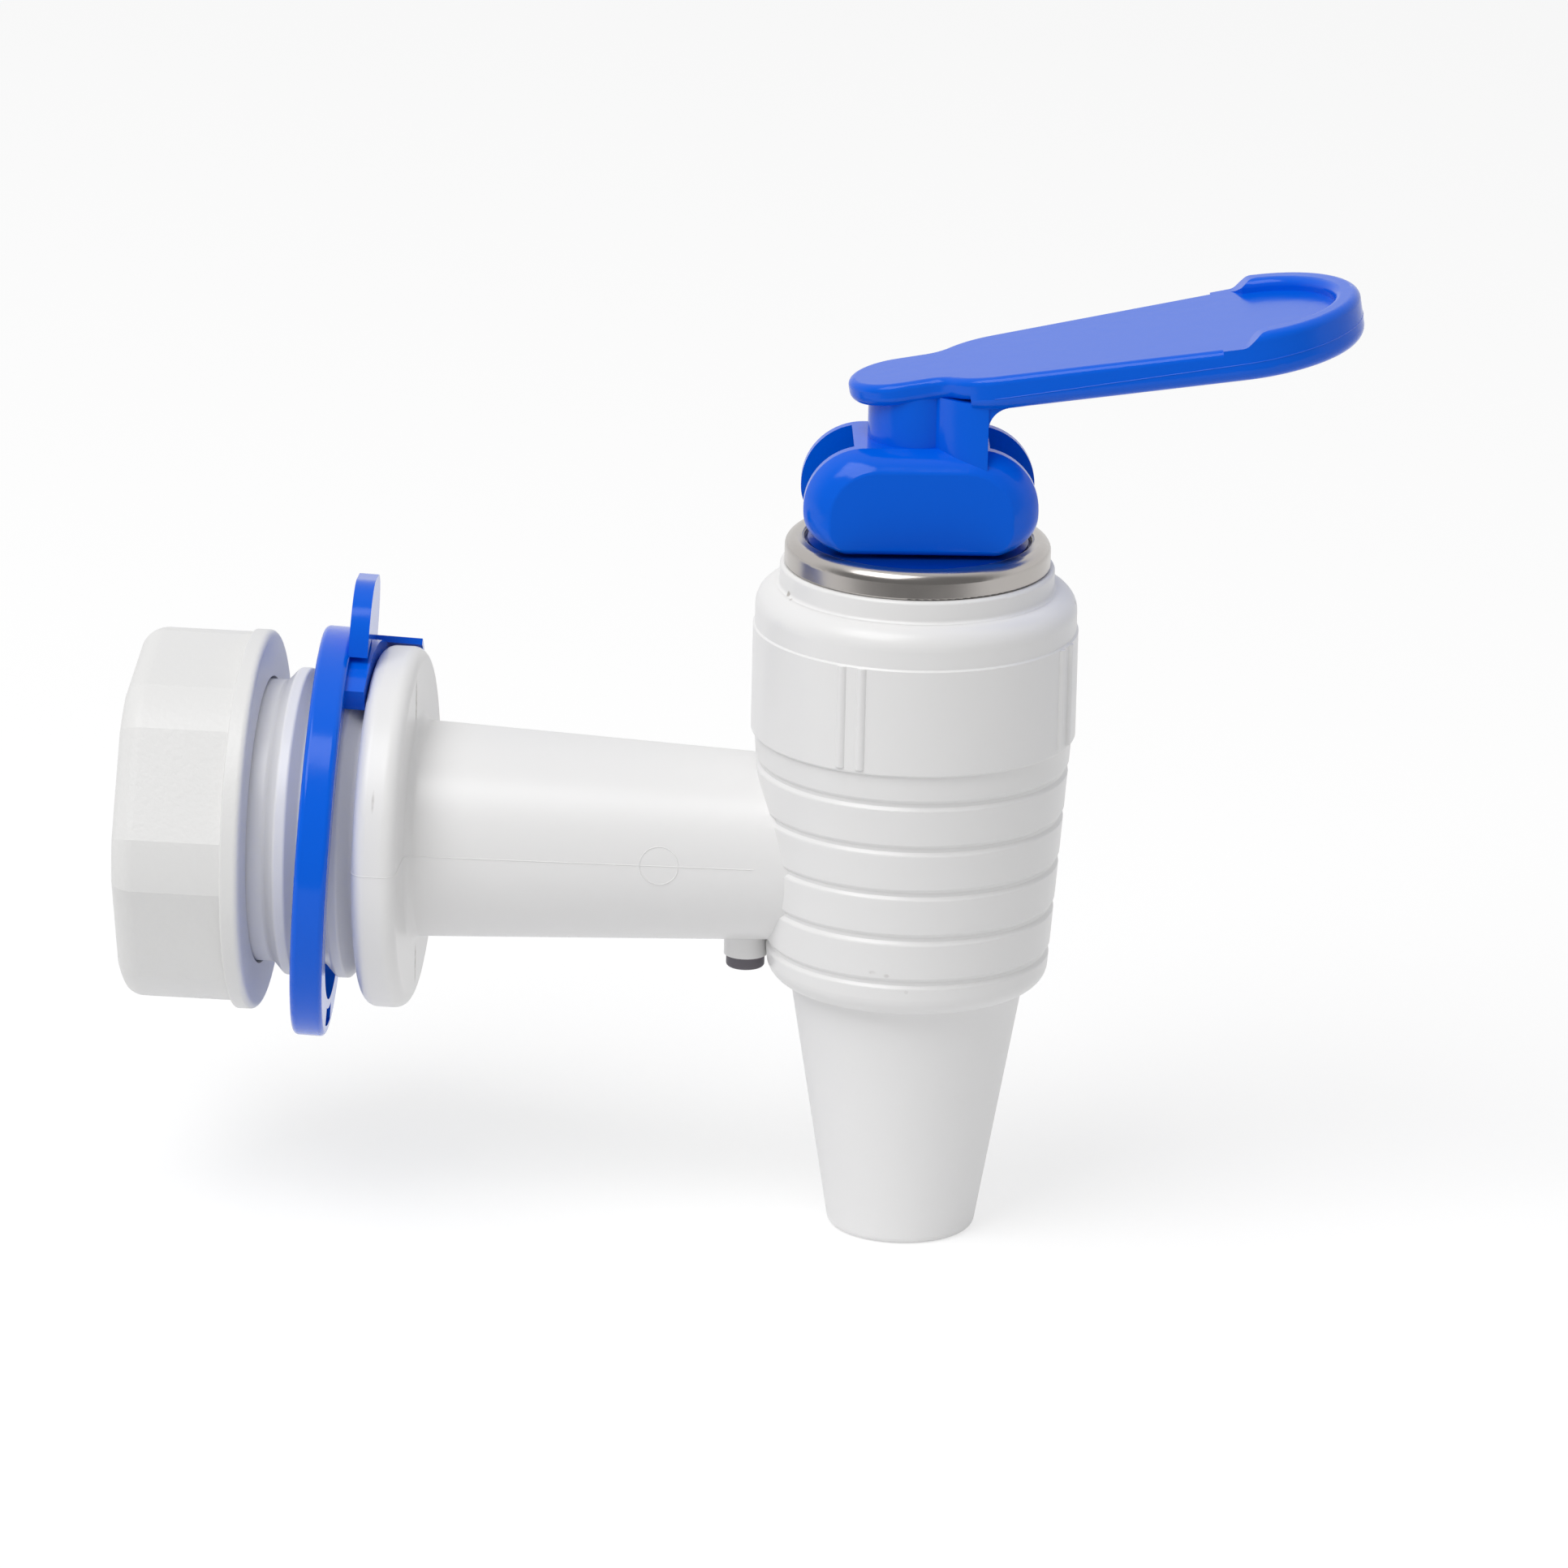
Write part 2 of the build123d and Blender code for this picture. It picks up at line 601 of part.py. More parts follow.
def thrust_washer():
    """Flat steel washer on the stem's foot, under the spring."""
    ring = Circle(WASHER_R) - Circle(STEM_R + SLIP)
    return on_barrel(Pos(0, 0, FOOT_TOP_Z + SOFT_GAP) * extrude(ring, WASHER_T))


def return_spring():
    """Steel spring between the thrust washer and the hub of the guide."""
    low = FOOT_TOP_Z + 2 * SOFT_GAP + WASHER_T + SPRING_WIRE_R
    high = HUB_END_Z - SOFT_GAP - SPRING_WIRE_R
    path = Helix(pitch=(high - low) / SPRING_TURNS, height=high - low, radius=SPRING_R)
    start = Plane(origin=path @ 0, z_dir=path % 0)
    coil = sweep(start * Circle(SPRING_WIRE_R), path=path, is_frenet=True)
    return on_barrel(Pos(0, 0, low) * coil)


def spout():
    """Cone spout with a spigot that is pushed up into the barrel."""
    spigot_r = SOCKET_R - SOFT_GAP
    spigot_top = FLOOR_Z - FLOOR_T - SLIP
    middle = (BARREL_BOTTOM_Z + spigot_top) / 2
    groove_r = spigot_r - 2 * SEAL_WIRE_R
    points = [
        (OUTLET_R, SPOUT_TIP_Z),
        (SPOUT_R_TIP, SPOUT_TIP_Z),
        (SPOUT_R_TOP, BARREL_BOTTOM_Z),
        (spigot_r, BARREL_BOTTOM_Z),
        (spigot_r, middle - SEAL_GROOVE / 2),
        (groove_r, middle - SEAL_GROOVE / 2),
        (groove_r, middle + SEAL_GROOVE / 2),
        (spigot_r, middle + SEAL_GROOVE / 2),
        (spigot_r, spigot_top),
        (SPIGOT_BORE_R, spigot_top),
        (OUTLET_R, SPOUT_TIP_Z + OUTLET_LENGTH),
    ]
    return on_barrel(turned(points, [OUTLET_EDGE, SPOUT_TIP_EDGE, 0, 0, 0, 0, 0, 0, 0, 0, 0]))


def spout_seal():
    """O-ring in the spigot's groove."""
    middle = (BARREL_BOTTOM_Z + FLOOR_Z - FLOOR_T - SLIP) / 2
    centre = SOCKET_R - SOFT_GAP - SEAL_WIRE_R
    return on_barrel(Pos(0, 0, middle) * Torus(centre, SEAL_WIRE_R - SOFT_GAP / 2))


def mounting_nut():
    """Nut with flats between round corners, a round lip and a rounded outer end."""
    end_x = NUT_FACE_X - NUT_LENGTH
    lip_x = NUT_FACE_X - NUT_LIP_T
    flats = RegularPolygon(NUT_FLAT, NUT_FLATS, major_radius=False)
    outline = Circle(NUT_R) & Rot(0, 0, NUT_PHASE + 180 / NUT_FLATS) * flats
    body = extrude(Plane.YZ.offset(end_x) * outline, NUT_LENGTH - NUT_LIP_T)
    body = fillet(body.edges().group_by(Axis.X)[0], NUT_END_EDGE)
    lip = bar_on_x(NUT_LIP_R, lip_x, NUT_FACE_X)
    lip = fillet(lip.edges().filter_by(GeomType.CIRCLE).group_by(Axis.X)[-1], NUT_LIP_T / 3)
    lip = fillet(lip.edges().filter_by(GeomType.CIRCLE).group_by(Axis.X)[0], (NUT_LIP_R - NUT_R) * 0.8)
    nut = body + lip
    return nut - bar_on_x(STUB_CORE_R + NUT_BORE_GAP, end_x, NUT_FACE_X)


def ring_sector(inner, outer, start, end):
    """Flat sector of a ring between two angles."""
    outer_arc = CenterArc((0, 0), outer, start, end - start)
    inner_arc = CenterArc((0, 0), inner, start, end - start)
    sides = [Line(outer_arc @ 0, inner_arc @ 0), Line(outer_arc @ 1, inner_arc @ 1)]
    return make_face([outer_arc, inner_arc] + sides)


def tab_washer():
    """Blue ring with a thumb tab, a thin lip that hooks over the flange, a lug and a small pocket."""
    ring = extrude(Plane.YZ.offset(-TAB_RING_T) * (Circle(TAB_RING_R) - Circle(TAB_HOLE_R)), TAB_RING_T)
    ring = fillet(ring.edges().filter_by(GeomType.CIRCLE).group_by(SortBy.RADIUS)[-1], TAB_RING_EDGE)
    reach = TAB_RING_R + TAB_LENGTH
    tab = Pos((TAB_HOLE_R + reach) / 2, 0) * Rectangle(reach - TAB_HOLE_R, TAB_WIDTH)
    tab = fillet(tab.vertices().group_by(Axis.X)[-1], TAB_CORNER) - Circle(TAB_RING_R - TAB_OVERLAP)
    notch = ring_sector(TAB_HOLE_R, TAB_RING_R - TAB_NOTCH_COVER, TAB_NOTCH_START, TAB_NOTCH_END)
    tab = extrude(Plane.YZ.offset(-TAB_SINK) * (Rot(0, 0, TAB_CENTRE) * tab - notch), TAB_SINK + TAB_T)
    lip = ring_sector(LIP_R, LIP_R + LIP_T, LIP_START, LIP_END)
    lip = extrude(Plane.YZ.offset(-TAB_RING_T / 2) * lip, LIP_LENGTH + TAB_RING_T / 2)
    lug_r = TAB_HOLE_R + LUG_SETBACK
    lug = ring_sector(lug_r, lug_r + LUG_WALL, LUG_START, LUG_END)
    lug = extrude(Plane.YZ.offset(-TAB_SINK) * lug, TAB_SINK + LUG_LENGTH)
    pocket_r = TAB_RING_R - POCKET_COVER
    pocket = ring_sector(pocket_r - POCKET_WIDTH, pocket_r, POCKET_START, POCKET_END)
    pocket = extrude(Plane.YZ.offset(-POCKET_DEPTH) * pocket, 2 * POCKET_DEPTH)
    place = Pos(TAB_X, 0, -TAB_DROP) * Rot(0, TAB_TILT, TAB_YAW)
    behind_flange = Pos(-LUG_CLEAR, 0, 0) * Box(
        4 * FLANGE_R, 4 * FLANGE_R, 4 * FLANGE_R, align=(Align.MAX, Align.CENTER, Align.CENTER)
    )
    return place * (ring - pocket + tab + lip) + (place * lug & behind_flange)


PIECES = {
    "tap_body": tap_body,
    "vent_plug": vent_plug,
    "bonnet": bonnet,
    "stem_guide": stem_guide,
    "trim_ring": trim_ring,
    "lever": lever,
    "pivot_pin": pivot_pin,
    "valve_stem": valve_stem,
    "seat_cup": seat_cup,
    "thrust_washer": thrust_washer,
    "return_spring": return_spring,
    "spout": spout,
    "spout_seal": spout_seal,
    "mounting_nut": mounting_nut,
    "tab_washer": tab_washer,
}

os.makedirs(PARTS_FOLDER, exist_ok=True)
for name, make in PIECES.items():
    export_step(make(), os.path.join(PARTS_FOLDER, name + ".step"))
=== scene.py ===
import bmesh
import bpy
import json
from math import cos, pi, radians, sin
from mathutils import Matrix, Vector


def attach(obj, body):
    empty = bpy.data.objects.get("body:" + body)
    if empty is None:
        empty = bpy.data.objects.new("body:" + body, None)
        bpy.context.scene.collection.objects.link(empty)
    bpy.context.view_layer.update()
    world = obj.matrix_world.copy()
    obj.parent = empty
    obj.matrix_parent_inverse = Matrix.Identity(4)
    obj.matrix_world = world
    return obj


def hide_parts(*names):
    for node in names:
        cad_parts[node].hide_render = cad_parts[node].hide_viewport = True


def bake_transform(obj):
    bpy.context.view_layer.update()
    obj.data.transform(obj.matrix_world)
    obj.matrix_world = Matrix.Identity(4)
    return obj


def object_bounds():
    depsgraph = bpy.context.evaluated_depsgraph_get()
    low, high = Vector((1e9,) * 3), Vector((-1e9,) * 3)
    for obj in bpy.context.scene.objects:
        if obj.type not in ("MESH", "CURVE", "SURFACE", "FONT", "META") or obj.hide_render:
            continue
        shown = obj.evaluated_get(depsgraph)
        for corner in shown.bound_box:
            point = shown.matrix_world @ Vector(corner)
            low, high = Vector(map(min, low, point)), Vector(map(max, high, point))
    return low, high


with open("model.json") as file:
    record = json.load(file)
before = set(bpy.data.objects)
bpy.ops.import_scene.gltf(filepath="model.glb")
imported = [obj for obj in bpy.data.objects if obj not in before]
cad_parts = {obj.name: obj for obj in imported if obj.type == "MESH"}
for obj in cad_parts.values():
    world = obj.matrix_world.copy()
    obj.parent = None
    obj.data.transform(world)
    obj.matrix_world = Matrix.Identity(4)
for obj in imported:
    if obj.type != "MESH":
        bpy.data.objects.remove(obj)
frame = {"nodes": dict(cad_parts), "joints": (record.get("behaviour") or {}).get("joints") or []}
solid_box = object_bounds()

# Tap body
# One white moulding of stub, flange, pipe and lower barrel, in a pearly plastic with a satin skin.
# The mould's halves meet on a level line along the pipe, and the gate leaves a ring on its near side.


def add_sockets(tree, direction, kinds):
    """Give a node tree named inputs or outputs, each with its kind."""
    for name, kind in kinds.items():
        tree.interface.new_socket(name, in_out=direction, socket_type="NodeSocket" + kind)


def add_node(nodes, kind, values=None, operation=None, group=None):
    """Add a node with the values of its inputs, and its operation or its group where it has one."""
    node = nodes.new(kind)
    if operation:
        node.operation = operation
    if group:
        node.node_tree = group
    for name, value in (values or {}).items():
        node.inputs[name].default_value = value
    return node


def satin_skin():
    """Node group of the moulded skin: slow tone changes, faint unevenness and a fine grain."""
    group = bpy.data.node_groups.new("moulded_skin", "ShaderNodeTree")
    amounts = ("Tone Size", "Tone Depth", "Grain Size", "Roughness Low", "Roughness High")
    add_sockets(group, "INPUT", dict.fromkeys(amounts, "Float"))
    add_sockets(group, "INPUT", {"Colour": "Color"})
    add_sockets(group, "OUTPUT", {"Colour": "Color", "Roughness": "Float", "Height": "Float"})
    nodes = group.nodes
    link = group.links.new
    entry = nodes.new("NodeGroupInput")
    leave = nodes.new("NodeGroupOutput")
    place = nodes.new("ShaderNodeTexCoord")
    tone = add_node(nodes, "ShaderNodeTexNoise", {"Detail": 3.0})
    link(place.outputs["Object"], tone.inputs["Vector"])
    link(entry.outputs["Tone Size"], tone.inputs["Scale"])
    grain = add_node(nodes, "ShaderNodeTexNoise", {"Detail": 2.0})
    link(place.outputs["Object"], grain.inputs["Vector"])
    link(entry.outputs["Grain Size"], grain.inputs["Scale"])
    drop = add_node(nodes, "ShaderNodeMath", operation="MULTIPLY")
    link(tone.outputs["Fac"], drop.inputs[0])
    link(entry.outputs["Tone Depth"], drop.inputs[1])
    keep = add_node(nodes, "ShaderNodeMath", {0: 1.0}, "SUBTRACT")
    link(drop.outputs["Value"], keep.inputs[1])
    shade = add_node(nodes, "ShaderNodeVectorMath", operation="SCALE")
    link(entry.outputs["Colour"], shade.inputs[0])
    link(keep.outputs["Value"], shade.inputs["Scale"])
    link(shade.outputs["Vector"], leave.inputs["Colour"])
    gloss = nodes.new("ShaderNodeMapRange")
    link(tone.outputs["Fac"], gloss.inputs["Value"])
    link(entry.outputs["Roughness Low"], gloss.inputs["To Min"])
    link(entry.outputs["Roughness High"], gloss.inputs["To Max"])
    link(gloss.outputs["Result"], leave.inputs["Roughness"])
    link(grain.outputs["Fac"], leave.inputs["Height"])
    return group


moulded_skin = satin_skin()
grain_height = 0.0002
plastic_ior = 1.5


def plastic(name, colour, roughness, grain_size=900.0, bump=0.05, shine=0.5):
    """Moulded plastic with the shared skin, whose roughness runs from a lowest to a highest value."""
    material = bpy.data.materials.new(name)
    material.use_nodes = True
    nodes = material.node_tree.nodes
    link = material.node_tree.links.new
    shader = nodes["Principled BSDF"]
    skin_values = {
        "Colour": (*colour, 1.0),
        "Roughness Low": roughness[0],
        "Roughness High": roughness[1],
        "Tone Size": 60.0,
        "Tone Depth": 0.03,
        "Grain Size": grain_size,
    }
    skin = add_node(nodes, "ShaderNodeGroup", skin_values, group=moulded_skin)
    lift = add_node(nodes, "ShaderNodeBump", {"Strength": bump, "Distance": grain_height})
    link(skin.outputs["Height"], lift.inputs["Height"])
    link(skin.outputs["Colour"], shader.inputs["Base Color"])
    link(skin.outputs["Roughness"], shader.inputs["Roughness"])
    link(lift.outputs["Normal"], shader.inputs["Normal"])
    shader.inputs["IOR"].default_value = plastic_ior
    shader.inputs["Specular IOR Level"].default_value = shine
    return material


def dress(node, material):
    """Give a solid its material."""
    slots = frame["nodes"][node].data.materials
    slots.clear()
    slots.append(material)


pearl_white = plastic("pearl_white", colour=(0.85, 0.845, 0.842), roughness=(0.26, 0.36))
dress("tap_body", pearl_white)


def grime_spot():
    """Node group of one mark: an oval patch at a place, broken up by noise."""
    group = bpy.data.node_groups.new("grime_mark", "ShaderNodeTree")
    add_sockets(group, "INPUT", {"Place": "Vector", "Half Size": "Vector", "Depth": "Float"})
    add_sockets(group, "OUTPUT", {"Mask": "Float"})
    nodes = group.nodes
    link = group.links.new
    entry = nodes.new("NodeGroupInput")
    leave = nodes.new("NodeGroupOutput")
    skin_place = nodes.new("ShaderNodeTexCoord")
    offset = add_node(nodes, "ShaderNodeVectorMath", operation="SUBTRACT")
    link(skin_place.outputs["Object"], offset.inputs[0])
    link(entry.outputs["Place"], offset.inputs[1])
    share = add_node(nodes, "ShaderNodeVectorMath", operation="DIVIDE")
    link(offset.outputs["Vector"], share.inputs[0])
    link(entry.outputs["Half Size"], share.inputs[1])
    reach = add_node(nodes, "ShaderNodeVectorMath", operation="LENGTH")
    link(share.outputs["Vector"], reach.inputs[0])
    patch = add_node(nodes, "ShaderNodeMapRange", {"From Min": 1.0, "From Max": 0.55})
    link(reach.outputs["Value"], patch.inputs["Value"])
    breaks = add_node(nodes, "ShaderNodeTexNoise", {"Scale": 1600.0, "Detail": 2.0})
    link(skin_place.outputs["Object"], breaks.inputs["Vector"])
    broken = add_node(nodes, "ShaderNodeMapRange", {"From Min": 0.35, "From Max": 0.60, "To Min": 0.30})
    link(breaks.outputs["Fac"], broken.inputs["Value"])
    uneven = add_node(nodes, "ShaderNodeMath", operation="MULTIPLY")
    link(patch.outputs["Result"], uneven.inputs[0])
    link(broken.outputs["Result"], uneven.inputs[1])
    mask = add_node(nodes, "ShaderNodeMath", operation="MULTIPLY")
    link(uneven.outputs["Value"], mask.inputs[0])
    link(entry.outputs["Depth"], mask.inputs[1])
    link(mask.outputs["Value"], leave.inputs["Mask"])
    return group


grime_mark = grime_spot()


def soil(material, grime, marks):
    """Tint marks of grime, each given by place, half size and depth, into a plastic's colour."""
    nodes = material.node_tree.nodes
    link = material.node_tree.links.new
    colour = nodes["Principled BSDF"].inputs["Base Color"]
    clean = colour.links[0].from_socket
    for place, half_size, depth in marks:
        spot_values = {"Place": place, "Half Size": half_size, "Depth": depth}
        spot = add_node(nodes, "ShaderNodeGroup", spot_values, group=grime_mark)
        tint = nodes.new("ShaderNodeMix")
        tint.data_type = "RGBA"
        share, plain, soiled = tint.inputs[0], tint.inputs[6], tint.inputs[7]
        link(spot.outputs["Mask"], share)
        link(clean, plain)
        soiled.default_value = (*grime, 1.0)
        clean = tint.outputs[2]
    link(clean, colour)


grime_brown = (0.20, 0.16, 0.13)
flange_scratch_high = ((0.00375, -0.00228, 0.0120), (0.0008, 0.0006, 0.0023), 0.85)
flange_scratch_low = ((0.00375, -0.0009, -0.0119), (0.0008, 0.0005, 0.0021), 0.70)
rim_scuff = ((0.00172, -0.0140, 0.0066), (0.00014, 0.0012, 0.0011), 0.30)
foot_fleck_left = ((0.0442, -0.01205, -0.0068), (0.0004, 0.0004, 0.0002), 0.22)
foot_fleck_right = ((0.0454, -0.0122, -0.0070), (0.0003, 0.0003, 0.0002), 0.22)
foot_speck = ((0.0471, -0.0120, -0.0084), (0.0002, 0.0002, 0.0002), 0.25)
flange_marks = [flange_scratch_high, flange_scratch_low, rim_scuff]
foot_marks = [foot_fleck_left, foot_fleck_right, foot_speck]
soil(pearl_white, grime_brown, flange_marks + foot_marks)


def bead_tree():
    """Node tree that lays a thin round bead along the edges of a mesh."""
    tree = bpy.data.node_groups.new("bead_along_edges", "GeometryNodeTree")
    add_sockets(tree, "INPUT", {"Edges": "Geometry", "Radius": "Float"})
    add_sockets(tree, "INPUT", {"Sides": "Int", "Finish": "Material"})
    add_sockets(tree, "OUTPUT", {"Bead": "Geometry"})
    nodes = tree.nodes
    link = tree.links.new
    entry = nodes.new("NodeGroupInput")
    leave = nodes.new("NodeGroupOutput")
    path = nodes.new("GeometryNodeMeshToCurve")
    section = nodes.new("GeometryNodeCurvePrimitiveCircle")
    tube = add_node(nodes, "GeometryNodeCurveToMesh", {"Fill Caps": True})
    real = nodes.new("GeometryNodeRealizeInstances")
    finish = nodes.new("GeometryNodeSetMaterial")
    link(entry.outputs["Edges"], path.inputs["Mesh"])
    link(entry.outputs["Radius"], section.inputs["Radius"])
    link(entry.outputs["Sides"], section.inputs["Resolution"])
    link(path.outputs["Curve"], tube.inputs["Curve"])
    link(section.outputs["Curve"], tube.inputs["Profile Curve"])
    link(tube.outputs["Mesh"], real.inputs["Geometry"])
    link(real.outputs["Geometry"], finish.inputs["Geometry"])
    link(entry.outputs["Finish"], finish.inputs["Material"])
    link(finish.outputs["Geometry"], leave.inputs["Bead"])
    return tree


bead_along_edges = bead_tree()
bead_sides = 6


def put_in_scene(name, data):
    """Object of that name in the scene, at the origin."""
    placed = bpy.data.objects.new(name, data)
    bpy.context.collection.objects.link(placed)
    return placed


def bead(name, path, radius, material, body):
    """Piece of its own on a body: a thin bead along a path of edges, as a plain mesh."""
    values = {"Radius": radius, "Sides": bead_sides, "Finish": material}
    modifier = path.modifiers.new("bead", "NODES")
    modifier.node_group = bead_along_edges
    for socket in bead_along_edges.interface.items_tree:
        if socket.in_out == "INPUT" and socket.name in values:
            modifier[socket.identifier] = values[socket.name]
    seen = path.evaluated_get(bpy.context.evaluated_depsgraph_get())
    mesh = bpy.data.meshes.new_from_object(seen)
    bpy.data.objects.remove(path)
    mesh.shade_smooth()
    piece = put_in_scene(name, mesh)
    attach(piece, body)


merge_distance = 1e-6


def joined_shape(node):
    """Copy of a solid's skin, with its loose triangles joined."""
    shape = bmesh.new()
    shape.from_mesh(frame["nodes"][node].data)
    bmesh.ops.remove_doubles(shape, verts=shape.verts, dist=merge_distance)
    return shape


def section_edges(node, point, normal, keep):
    """Edges where a plane cuts a solid's skin, for the places that keep says yes to."""
    cut = joined_shape(node)
    everything = cut.verts[:] + cut.edges[:] + cut.faces[:]
    bmesh.ops.bisect_plane(
        cut, geom=everything, plane_co=point, plane_no=normal, clear_inner=True, clear_outer=True
    )
    spare = [vertex for vertex in cut.verts if not keep(vertex.co)]
    bmesh.ops.delete(cut, geom=spare, context="VERTS")
    mesh = bpy.data.meshes.new(node + "_cut")
    cut.to_mesh(mesh)
    cut.free()
    return put_in_scene(node + "_cut", mesh)


def closed_loop(name, spots):
    """Loop of edges through a ring of spots."""
    mesh = bpy.data.meshes.new(name)
    count = len(spots)
    mesh.from_pydata(spots, [(step, (step + 1) % count) for step in range(count)], [])
    return put_in_scene(name, mesh)


upward = Vector((0.0, 0.0, 1.0))
seam_radius = 0.00005
pipe_seam_height = 0.0004
pipe_bore = 0.0065
flange_start = -0.0002
barrel_face = 0.0340
pipe_cut = section_edges(
    "tap_body",
    point=upward * pipe_seam_height,
    normal=upward,
    keep=lambda spot: abs(spot.y) > pipe_bore and flange_start < spot.x < barrel_face,
)
bead("pipe_seam", pipe_cut, seam_radius, pearl_white, "tap")
gate_x = 0.02545
gate_radius = 0.00165
gate_steps = 48
before_pipe = -0.05
to_pipe = Vector((0.0, 1.0, 0.0))
gate_spots = []
for step in range(gate_steps):
    angle = 2 * pi * step / gate_steps
    start_x = gate_x + gate_radius * cos(angle)
    start_z = pipe_seam_height + gate_radius * sin(angle)
    start = Vector((start_x, before_pipe, start_z))
    _, spot, _, _ = frame["nodes"]["tap_body"].ray_cast(start, to_pipe)
    gate_spots.append(spot)
bead("gate_ring", closed_loop("gate_loop", gate_spots), seam_radius, pearl_white, "tap")

# Bonnet
# White screw-on top of the barrel in the same pearly plastic, with grip ribs on its band.
# It clamps the seat cup on the barrel's neck and carries the steel ring.
dress("bonnet", pearl_white)
crown_speck = ((0.0357, -0.0054, 0.0242), (0.00026, 0.0004, 0.0003), 0.85)
crown_fleck = ((0.0360, -0.0064, 0.0240), (0.00018, 0.0003, 0.0002), 0.45)
edge_speck = ((0.0595, 0.0007, 0.0229), (0.0003, 0.0004, 0.0002), 0.55)
soil(pearl_white, grime_brown, [crown_speck, crown_fleck, edge_speck])

# Spout
# White cone pushed up into the barrel on a spigot with a sealing ring.
# Its plastic is a little duller than the body's.
dull_white = plastic("dull_white", colour=(0.88, 0.876, 0.874), roughness=(0.36, 0.46))
dress("spout", dull_white)

# Vent plug
# Small round stopper of dull grey plastic.
# It is pushed into the boss under the pipe.
grey_stopper = plastic("grey_stopper", colour=(0.13, 0.12, 0.14), roughness=(0.45, 0.6))
dress("vent_plug", grey_stopper)

# Trim ring
# Pressed stainless ring, polished, with faint cloudy marks from the polishing.
# It sits on the bonnet's neck, and its lip is rolled over the edge of the blue guide.
polished_steel = bpy.data.materials.new("polished_steel")
polished_steel.use_nodes = True
steel_nodes = polished_steel.node_tree.nodes
steel_link = polished_steel.node_tree.links.new
steel_shader = steel_nodes["Principled BSDF"]
steel_shader.inputs["Base Color"].default_value = (0.46, 0.435, 0.415, 1.0)
steel_shader.inputs["Metallic"].default_value = 1.0
steel_place = steel_nodes.new("ShaderNodeTexCoord")
polish_marks = add_node(steel_nodes, "ShaderNodeTexNoise", {"Scale": 420.0, "Detail": 3.0})
polish = add_node(steel_nodes, "ShaderNodeMapRange", {"To Min": 0.18, "To Max": 0.29})
steel_link(steel_place.outputs["Object"], polish_marks.inputs["Vector"])
steel_link(polish_marks.outputs["Fac"], polish.inputs["Value"])
steel_link(polish.outputs["Result"], steel_shader.inputs["Roughness"])
dress("trim_ring", polished_steel)

# Lever and guide
# Blue glossy mouldings: the rocker lever on its pin, and the guide disc on which its cheeks stand,
# whose blue is painted darker as painted shade.
# A thin seam of the mould runs round the paddle's edge, parallel to its top, in a lighter blue that is
# a painted highlight.
gloss_blue = plastic("gloss_blue", colour=(0.0, 0.118, 0.76), roughness=(0.12, 0.19), shine=0.22)
dress("lever", gloss_blue)
# The guide disc is the lever's blue plastic, painted much darker as painted shade for its recess inside
# the steel ring, under the cheeks.
guide_blue_painted_shade = plastic("guide_blue_painted_shade", colour=(0.0, 0.035, 0.30), roughness=(0.14, 0.22), shine=0.35)
dress("stem_guide", guide_blue_painted_shade)
# The seam's blue is a little lighter than the lever's, as a painted highlight on the seam's crest.
seam_blue_painted_highlight = plastic("seam_blue_painted_highlight", colour=(0.01, 0.13, 0.78), roughness=(0.2, 0.3))
press_joint = next(joint for joint in frame["joints"] if joint["name"] == "lever_press")
pivot = Vector(press_joint["pos_m"])
barrel_axis = Vector((pivot.x, pivot.y, 0.0))
lever_along = Vector(press_joint["axis"]).cross(upward)
paddle_top = 0.0431
paddle_pitch = radians(11.3)
lever_seam_depth = 0.0020
lever_seam_radius = 0.00004
web_end = 0.0058
lever_cut = section_edges(
    "lever",
    point=barrel_axis + upward * (paddle_top - lever_seam_depth),
    normal=upward * cos(paddle_pitch) - lever_along * sin(paddle_pitch),
    keep=lambda spot: (spot - barrel_axis).dot(lever_along) > web_end,
)
bead("lever_seam", lever_cut, lever_seam_radius, seam_blue_painted_highlight, "handle")

# Mounting nut
# White moulded nut with seven flats, loose on the stub's thread.
# Its skin is a little coarser than the body's.
grained_white = plastic(
    "grained_white", colour=(0.80, 0.797, 0.79), roughness=(0.34, 0.46), grain_size=2200.0, bump=0.16
)
dress("mounting_nut", grained_white)

# Tab ring
# Thin moulded ring in the lever's blue plastic, with a thumb tab.
# It is loose on the stub and hangs on the flange by its lip.
dress("tab_washer", gloss_blue)

# Valve
# Stem, washer, spring and silicone cup inside the barrel, and the pin that joins the stem to the lever.
# In the tap they are held at their upper ends and shorten as the stem rises; here they are still copies
# of their solids, which are hidden.
silicone = plastic("silicone", colour=(0.72, 0.72, 0.70), roughness=(0.5, 0.6))
dress("valve_stem", dull_white)
dress("spout_seal", silicone)
dress("pivot_pin", polished_steel)
dress("thrust_washer", polished_steel)
soft_crease = radians(35)


def squeezed(name, node, material):
    """Copy of a solid's skin, smooth with sharp creases, shown in its place while the solid is hidden.
    """
    shape = joined_shape(node)
    mesh = bpy.data.meshes.new(name)
    shape.to_mesh(mesh)
    shape.free()
    mesh.shade_smooth()
    mesh.set_sharp_from_angle(angle=soft_crease)
    mesh.materials.append(material)
    piece = put_in_scene(name, mesh)
    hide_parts(node)
    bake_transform(piece)


squeezed("spring_coil", "return_spring", polished_steel)
squeezed("cup_bellows", "seat_cup", silicone)

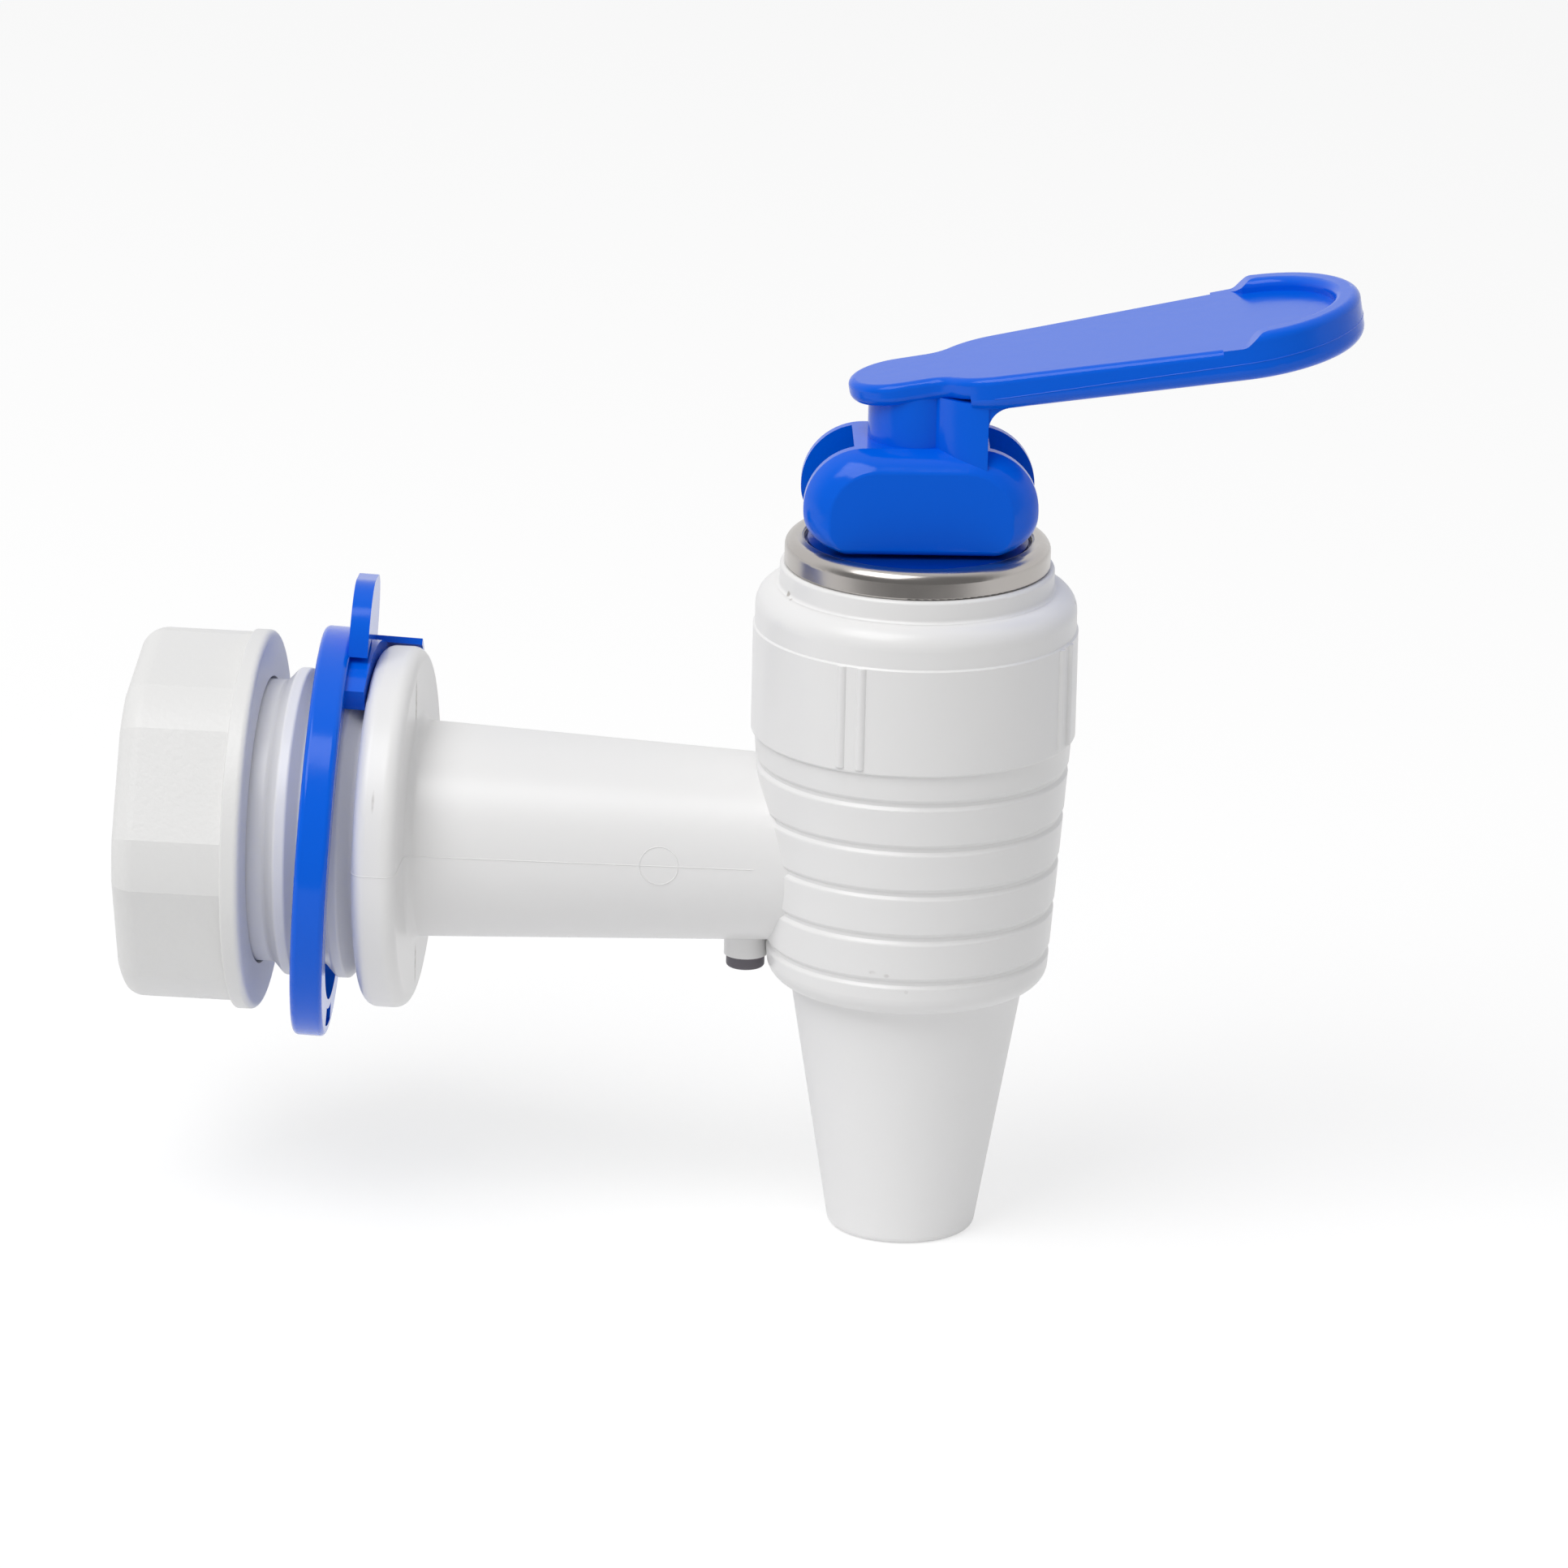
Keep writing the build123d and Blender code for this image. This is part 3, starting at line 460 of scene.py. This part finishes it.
# Floor
# White table under the spout's tip, which ends a little way in front of the tap.
# The camera and the metal see it as white, and it keeps the shadow.
floor_low = solid_box[0][2]
floor_half = 3.0
floor_front = 0.14
floor_corners = [
    (-floor_half, -floor_front, floor_low),
    (floor_half, -floor_front, floor_low),
    (floor_half, floor_half, floor_low),
    (-floor_half, floor_half, floor_low),
]
floor_mesh = bpy.data.meshes.new("floor")
floor_mesh.from_pydata(floor_corners, [], [(0, 1, 2, 3)])
floor = put_in_scene("floor", floor_mesh)
table_white = bpy.data.materials.new("table_white")
table_white.use_nodes = True
table_nodes = table_white.node_tree.nodes
table_link = table_white.node_tree.links.new
table_nodes.remove(table_nodes["Principled BSDF"])


def seen_directly(nodes, link):
    """Mask of what the camera, the metal and the clear pieces look at."""
    rays = nodes.new("ShaderNodeLightPath")
    total = rays.outputs["Is Camera Ray"]
    for ray in ("Is Glossy Ray", "Is Transmission Ray"):
        either = add_node(nodes, "ShaderNodeMath", operation="MAXIMUM")
        link(total, either.inputs[0])
        link(rays.outputs[ray], either.inputs[1])
        total = either.outputs["Value"]
    return total


bounce = add_node(table_nodes, "ShaderNodeBsdfDiffuse", {"Color": (0.88, 0.88, 0.88, 1.0)})
shadow_catch = add_node(table_nodes, "ShaderNodeBsdfDiffuse", {"Color": (0.42, 0.42, 0.42, 1.0)})
glow = add_node(table_nodes, "ShaderNodeEmission", {"Strength": 0.64})
pale = table_nodes.new("ShaderNodeAddShader")
table_link(shadow_catch.outputs["BSDF"], pale.inputs[0])
table_link(glow.outputs["Emission"], pale.inputs[1])
table_mix = table_nodes.new("ShaderNodeMixShader")
table_link(seen_directly(table_nodes, table_link), table_mix.inputs["Fac"])
table_link(bounce.outputs["BSDF"], table_mix.inputs[1])
table_link(pale.outputs["Shader"], table_mix.inputs[2])
table_link(table_mix.outputs["Shader"], table_nodes["Material Output"].inputs["Surface"])
floor_mesh.materials.append(table_white)

# Light
# Bright room, which is white to the eye and darker towards the front where the glossy pieces mirror it.
# A broad soft lamp stands above the tap on the front left.
white = (1.0, 1.0, 1.0, 1.0)
room = bpy.data.worlds.new("room")
bpy.context.scene.world = room
room.use_nodes = True
room_nodes = room.node_tree.nodes
room_link = room.node_tree.links.new
room_light = room_nodes["Background"]
room_light.inputs["Color"].default_value = white
room_light.inputs["Strength"].default_value = 0.50
seen_room = add_node(room_nodes, "ShaderNodeBackground", {"Color": white, "Strength": 1.0})
room_mix = room_nodes.new("ShaderNodeMixShader")
room_link(seen_directly(room_nodes, room_link), room_mix.inputs["Fac"])
room_link(room_light.outputs["Background"], room_mix.inputs[1])
room_link(seen_room.outputs["Background"], room_mix.inputs[2])
direction = room_nodes.new("ShaderNodeTexCoord")
axes = room_nodes.new("ShaderNodeSeparateXYZ")
room_link(direction.outputs["Generated"], axes.inputs["Vector"])
front_to_back = {"From Min": -0.55, "From Max": 0.15, "To Min": 0.25, "To Max": 1.0}
depth = add_node(room_nodes, "ShaderNodeMapRange", front_to_back)
depth.interpolation_type = "SMOOTHSTEP"
room_link(axes.outputs["Y"], depth.inputs["Value"])
mirrored_room = add_node(room_nodes, "ShaderNodeBackground", {"Color": white})
room_link(depth.outputs["Result"], mirrored_room.inputs["Strength"])
mirrored = room_nodes.new("ShaderNodeLightPath")
mirror_mix = room_nodes.new("ShaderNodeMixShader")
room_link(mirrored.outputs["Is Glossy Ray"], mirror_mix.inputs["Fac"])
room_link(room_mix.outputs["Shader"], mirror_mix.inputs[1])
room_link(mirrored_room.outputs["Background"], mirror_mix.inputs[2])
room_link(mirror_mix.outputs["Shader"], room_nodes["World Output"].inputs["Surface"])


def standing_at(azimuth, elevation):
    """Direction from the tap to a place around it; azimuth 0 is the front and 90 degrees is +X."""
    level = cos(elevation)
    return Vector((sin(azimuth) * level, -cos(azimuth) * level, sin(elevation)))


tap_middle = Vector((0.03514, 0.0, 0.00564))
lamp_side = standing_at(azimuth=radians(-35), elevation=radians(55))
lamp_distance = 0.9
lamp = bpy.data.lights.new("key_lamp", "AREA")
lamp.shape = "SQUARE"
lamp.size = 0.6
lamp.energy = 4.8
key_lamp = put_in_scene("key_lamp", lamp)
key_lamp.location = tap_middle + lamp_side * lamp_distance
key_lamp.rotation_euler = lamp_side.to_track_quat("Z", "Y").to_euler()

# Camera
# Long lens at the photograph's angle, a little above the tap and to its right.
# It is rolled by about a degree.
camera_azimuth = radians(5.65)
camera_elevation = radians(17.69)
camera_roll = radians(1.32)
camera_distance = 0.96875
image_pixels = 1932
focal_pixels = 14000
lens = bpy.data.cameras.new("camera")
lens.sensor_width = 36.0
lens.lens = focal_pixels / image_pixels * lens.sensor_width
lens.clip_start = 0.01
lens.clip_end = 20.0
camera = put_in_scene("camera", lens)
back = standing_at(camera_azimuth, camera_elevation)
level_right = Vector((cos(camera_azimuth), sin(camera_azimuth), 0.0))
level_up = back.cross(level_right)
picture_right = level_right * cos(camera_roll) + level_up * sin(camera_roll)
picture_up = level_up * cos(camera_roll) - level_right * sin(camera_roll)
turn = Matrix((picture_right, picture_up, back)).transposed().to_4x4()
camera.matrix_world = Matrix.Translation(tap_middle + back * camera_distance) @ turn
bpy.context.scene.camera = camera
bpy.context.scene.view_settings.view_transform = "Standard"
